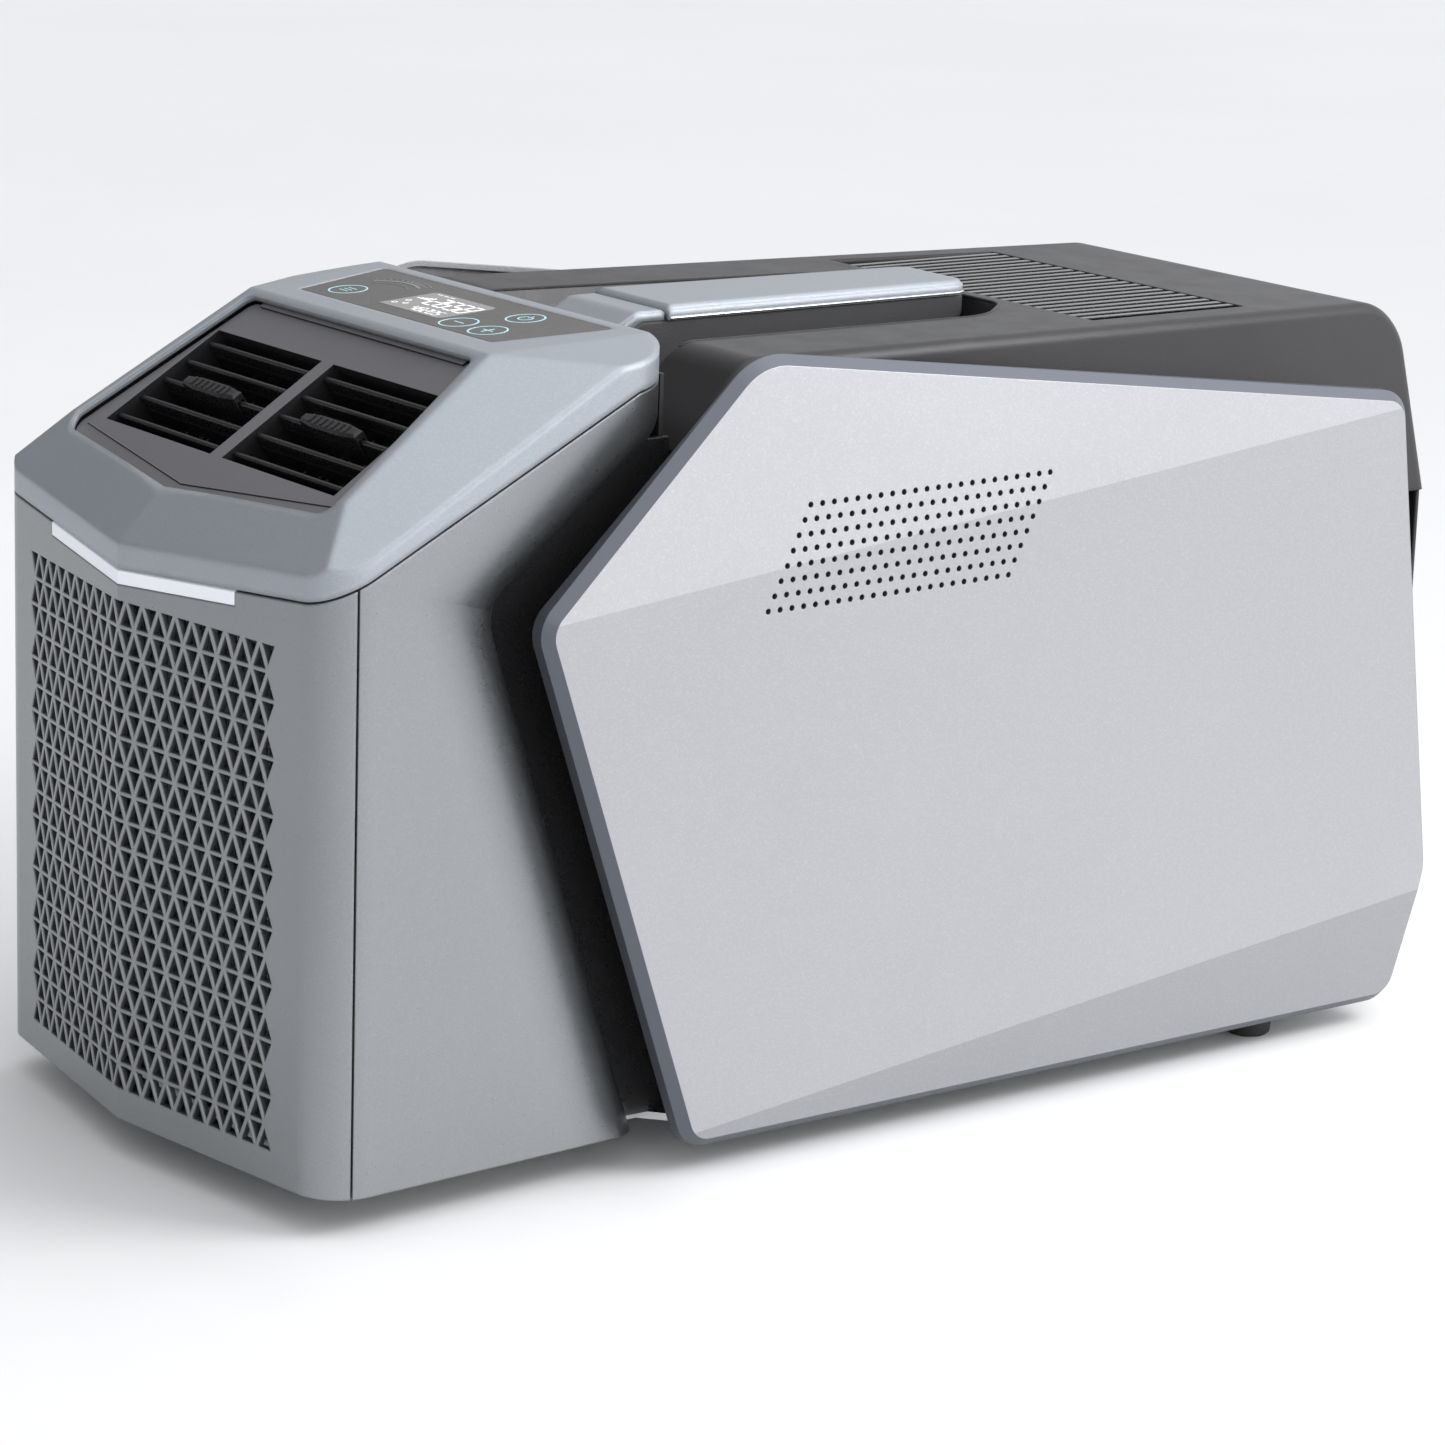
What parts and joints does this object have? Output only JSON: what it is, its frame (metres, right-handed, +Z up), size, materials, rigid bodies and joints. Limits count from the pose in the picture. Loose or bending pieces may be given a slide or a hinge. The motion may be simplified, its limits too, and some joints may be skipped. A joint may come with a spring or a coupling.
{
  "type": "portable air conditioner",
  "caption": "Portable air conditioner with a wedge-topped head, tilting vent louvers, perforated front, faceted side panels, carrying handle and top grille.",
  "frame": {"origin": "on the ground, under the middle of the bounding box", "axes": "+Z up, -Y towards the front grille, +X towards the right-hand side panel"},
  "size_m": [0.276, 0.585, 0.3309],
  "materials": {
    "shell_grey": "painted satin metallic grey",
    "cap_grey": "painted satin light blue-grey",
    "silver_panel": "fine sparkle silver paint",
    "dark_plastic": "fine grained dark grey moulding",
    "black_gloss": "glossy black",
    "bezel_charcoal": "fine textured charcoal",
    "light_white": "translucent white diffuser",
    "display": "tinted glass",
    "rubber": "matte black rubber",
    "galvanised": "galvanised sheet",
    "fin_alu": "bare fin stock",
    "copper": "copper tube",
    "black_paint": "black enamel",
    "board_green": "solder mask",
    "filter_mesh": "fine nylon mesh",
    "screw_steel": "zinc plated"
  },
  "bodies": {
    "housing": {"air_filter": "filter_mesh", "base_pan": "galvanised", "blower_housing": "dark_plastic", "blower_motor": "galvanised", "bulkhead": "dark_plastic", "compressor": "black_paint", "compressor_mounts": "rubber", "condenser": "fin_alu", "control_board": "board_green", "deck_shell": "dark_plastic", "display_glass": "display", "drain_spout": "dark_plastic", "evaporator": "fin_alu", "fan_motor": "galvanised", "fan_shroud": "dark_plastic", "front_shell": "shell_grey", "handle_cover": "cap_grey", "handle_grip": "dark_plastic", "handle_ramp": "cap_grey", "head_side_left": "shell_grey", "head_side_right": "shell_grey", "inlet_socket": "dark_plastic", "light_bar": "light_white", "panel_screws": "screw_steel", "power_module": "fin_alu", "rear_cover": "dark_plastic", "refrigerant_pipes": "copper", "rubber_feet": "rubber", "side_frame_left": "black_paint", "side_frame_right": "black_paint", "side_panel_left": "silver_panel", "side_panel_right": "silver_panel", "top_cap": "cap_grey", "top_grille": "black_gloss", "vent_bezel": "bezel_charcoal", "vent_duct": "dark_plastic"},
    "louver_right_1": {"louver_right_1": "black_gloss"},
    "louver_right_2": {"louver_right_2": "black_gloss"},
    "louver_right_3": {"louver_right_3": "black_gloss"},
    "louver_right_4": {"louver_right_4": "black_gloss"},
    "louver_right_5": {"louver_right_5": "black_gloss"},
    "thumb_tab_right": {"thumb_tab_right": "black_gloss"},
    "vane_right_1": {"vane_right_1": "black_gloss"},
    "vane_right_2": {"vane_right_2": "black_gloss"},
    "vane_right_3": {"vane_right_3": "black_gloss"},
    "vane_right_4": {"vane_right_4": "black_gloss"},
    "louver_left_1": {"louver_left_1": "black_gloss"},
    "louver_left_2": {"louver_left_2": "black_gloss"},
    "louver_left_3": {"louver_left_3": "black_gloss"},
    "louver_left_4": {"louver_left_4": "black_gloss"},
    "louver_left_5": {"louver_left_5": "black_gloss"},
    "thumb_tab_left": {"thumb_tab_left": "black_gloss"},
    "vane_left_1": {"vane_left_1": "black_gloss"},
    "vane_left_2": {"vane_left_2": "black_gloss"},
    "vane_left_3": {"vane_left_3": "black_gloss"},
    "vane_left_4": {"vane_left_4": "black_gloss"},
    "blower_rotor": {"blower_rotor": "dark_plastic"},
    "condenser_fan": {"condenser_fan": "dark_plastic"},
    "inlet_cap": {"inlet_cap": "rubber"},
    "drain_plug": {"drain_plug": "rubber"}
  },
  "joints": [
    {"name": "louver_right_1_tilt", "type": "hinge", "parent": "housing", "child": "louver_right_1", "pos_m": [0.045, -0.20031, 0.30012], "axis": [1, 0, 0], "range_deg": [-30, 30]},
    {"name": "louver_right_2_tilt", "type": "hinge", "parent": "housing", "child": "louver_right_2", "pos_m": [0.045, -0.21038, 0.29359], "axis": [1, 0, 0], "range_deg": [-30, 30]},
    {"name": "louver_right_3_tilt", "type": "hinge", "parent": "housing", "child": "louver_right_3", "pos_m": [0.045, -0.22044, 0.28705], "axis": [1, 0, 0], "range_deg": [-30, 30]},
    {"name": "louver_right_4_tilt", "type": "hinge", "parent": "housing", "child": "louver_right_4", "pos_m": [0.045, -0.23051, 0.28052], "axis": [1, 0, 0], "range_deg": [-30, 30]},
    {"name": "louver_right_5_tilt", "type": "hinge", "parent": "housing", "child": "louver_right_5", "pos_m": [0.045, -0.24057, 0.27398], "axis": [1, 0, 0], "range_deg": [-30, 30]},
    {"name": "thumb_tab_right_slide", "type": "slide", "parent": "louver_right_3", "child": "thumb_tab_right", "axis": [1, 0, 0], "range_m": [-0.012, 0.012]},
    {"name": "vane_right_1_swing", "type": "hinge", "parent": "housing", "child": "vane_right_1", "pos_m": [0.02, -0.21047, 0.27206], "axis": [0, 0.8387, 0.5446], "range_deg": [-30, 30]},
    {"name": "vane_right_2_swing", "type": "hinge", "parent": "housing", "child": "vane_right_2", "pos_m": [0.037, -0.21047, 0.27206], "axis": [0, 0.8387, 0.5446], "range_deg": [-30, 30]},
    {"name": "vane_right_3_swing", "type": "hinge", "parent": "housing", "child": "vane_right_3", "pos_m": [0.054, -0.21047, 0.27206], "axis": [0, 0.8387, 0.5446], "range_deg": [-30, 30]},
    {"name": "vane_right_4_swing", "type": "hinge", "parent": "housing", "child": "vane_right_4", "pos_m": [0.071, -0.21047, 0.27206], "axis": [0, 0.8387, 0.5446], "range_deg": [-30, 30]},
    {"name": "louver_left_1_tilt", "type": "hinge", "parent": "housing", "child": "louver_left_1", "pos_m": [-0.045, -0.20031, 0.30012], "axis": [1, 0, 0], "range_deg": [-30, 30]},
    {"name": "louver_left_2_tilt", "type": "hinge", "parent": "housing", "child": "louver_left_2", "pos_m": [-0.045, -0.21038, 0.29359], "axis": [1, 0, 0], "range_deg": [-30, 30]},
    {"name": "louver_left_3_tilt", "type": "hinge", "parent": "housing", "child": "louver_left_3", "pos_m": [-0.045, -0.22044, 0.28705], "axis": [1, 0, 0], "range_deg": [-30, 30]},
    {"name": "louver_left_4_tilt", "type": "hinge", "parent": "housing", "child": "louver_left_4", "pos_m": [-0.045, -0.23051, 0.28052], "axis": [1, 0, 0], "range_deg": [-30, 30]},
    {"name": "louver_left_5_tilt", "type": "hinge", "parent": "housing", "child": "louver_left_5", "pos_m": [-0.045, -0.24057, 0.27398], "axis": [1, 0, 0], "range_deg": [-30, 30]},
    {"name": "thumb_tab_left_slide", "type": "slide", "parent": "louver_left_3", "child": "thumb_tab_left", "axis": [1, 0, 0], "range_m": [-0.012, 0.012]},
    {"name": "vane_left_1_swing", "type": "hinge", "parent": "housing", "child": "vane_left_1", "pos_m": [-0.02, -0.21047, 0.27206], "axis": [0, 0.8387, 0.5446], "range_deg": [-30, 30]},
    {"name": "vane_left_2_swing", "type": "hinge", "parent": "housing", "child": "vane_left_2", "pos_m": [-0.037, -0.21047, 0.27206], "axis": [0, 0.8387, 0.5446], "range_deg": [-30, 30]},
    {"name": "vane_left_3_swing", "type": "hinge", "parent": "housing", "child": "vane_left_3", "pos_m": [-0.054, -0.21047, 0.27206], "axis": [0, 0.8387, 0.5446], "range_deg": [-30, 30]},
    {"name": "vane_left_4_swing", "type": "hinge", "parent": "housing", "child": "vane_left_4", "pos_m": [-0.071, -0.21047, 0.27206], "axis": [0, 0.8387, 0.5446], "range_deg": [-30, 30]},
    {"name": "blower_spin", "type": "hinge", "parent": "housing", "child": "blower_rotor", "pos_m": [0, -0.1525, 0.118], "axis": [0, 1, 0], "continuous": true},
    {"name": "condenser_fan_spin", "type": "hinge", "parent": "housing", "child": "condenser_fan", "pos_m": [0, 0.1775, 0.128], "axis": [0, 1, 0], "continuous": true},
    {"name": "inlet_cap_hinge", "type": "hinge", "parent": "housing", "child": "inlet_cap", "pos_m": [0.062, 0.2909, 0.081], "axis": [1, 0, 0], "range_deg": [0, 100]},
    {"name": "drain_plug_pull", "type": "slide", "parent": "housing", "child": "drain_plug", "axis": [0, 1, 0], "range_m": [0, 0.02]}
  ],
  "couplings": [
    {"joint": "louver_right_1_tilt", "follows": "louver_right_3_tilt", "ratio": 1},
    {"joint": "louver_right_2_tilt", "follows": "louver_right_3_tilt", "ratio": 1},
    {"joint": "louver_right_4_tilt", "follows": "louver_right_3_tilt", "ratio": 1},
    {"joint": "louver_right_5_tilt", "follows": "louver_right_3_tilt", "ratio": 1},
    {"joint": "vane_right_1_swing", "follows": "thumb_tab_right_slide", "rad_per_m": -43.59},
    {"joint": "vane_right_2_swing", "follows": "thumb_tab_right_slide", "rad_per_m": -43.59},
    {"joint": "vane_right_3_swing", "follows": "thumb_tab_right_slide", "rad_per_m": -43.59},
    {"joint": "vane_right_4_swing", "follows": "thumb_tab_right_slide", "rad_per_m": -43.59},
    {"joint": "louver_left_1_tilt", "follows": "louver_left_3_tilt", "ratio": 1},
    {"joint": "louver_left_2_tilt", "follows": "louver_left_3_tilt", "ratio": 1},
    {"joint": "louver_left_4_tilt", "follows": "louver_left_3_tilt", "ratio": 1},
    {"joint": "louver_left_5_tilt", "follows": "louver_left_3_tilt", "ratio": 1},
    {"joint": "vane_left_1_swing", "follows": "thumb_tab_left_slide", "rad_per_m": -43.59},
    {"joint": "vane_left_2_swing", "follows": "thumb_tab_left_slide", "rad_per_m": -43.59},
    {"joint": "vane_left_3_swing", "follows": "thumb_tab_left_slide", "rad_per_m": -43.59},
    {"joint": "vane_left_4_swing", "follows": "thumb_tab_left_slide", "rad_per_m": -43.59}
  ]
}
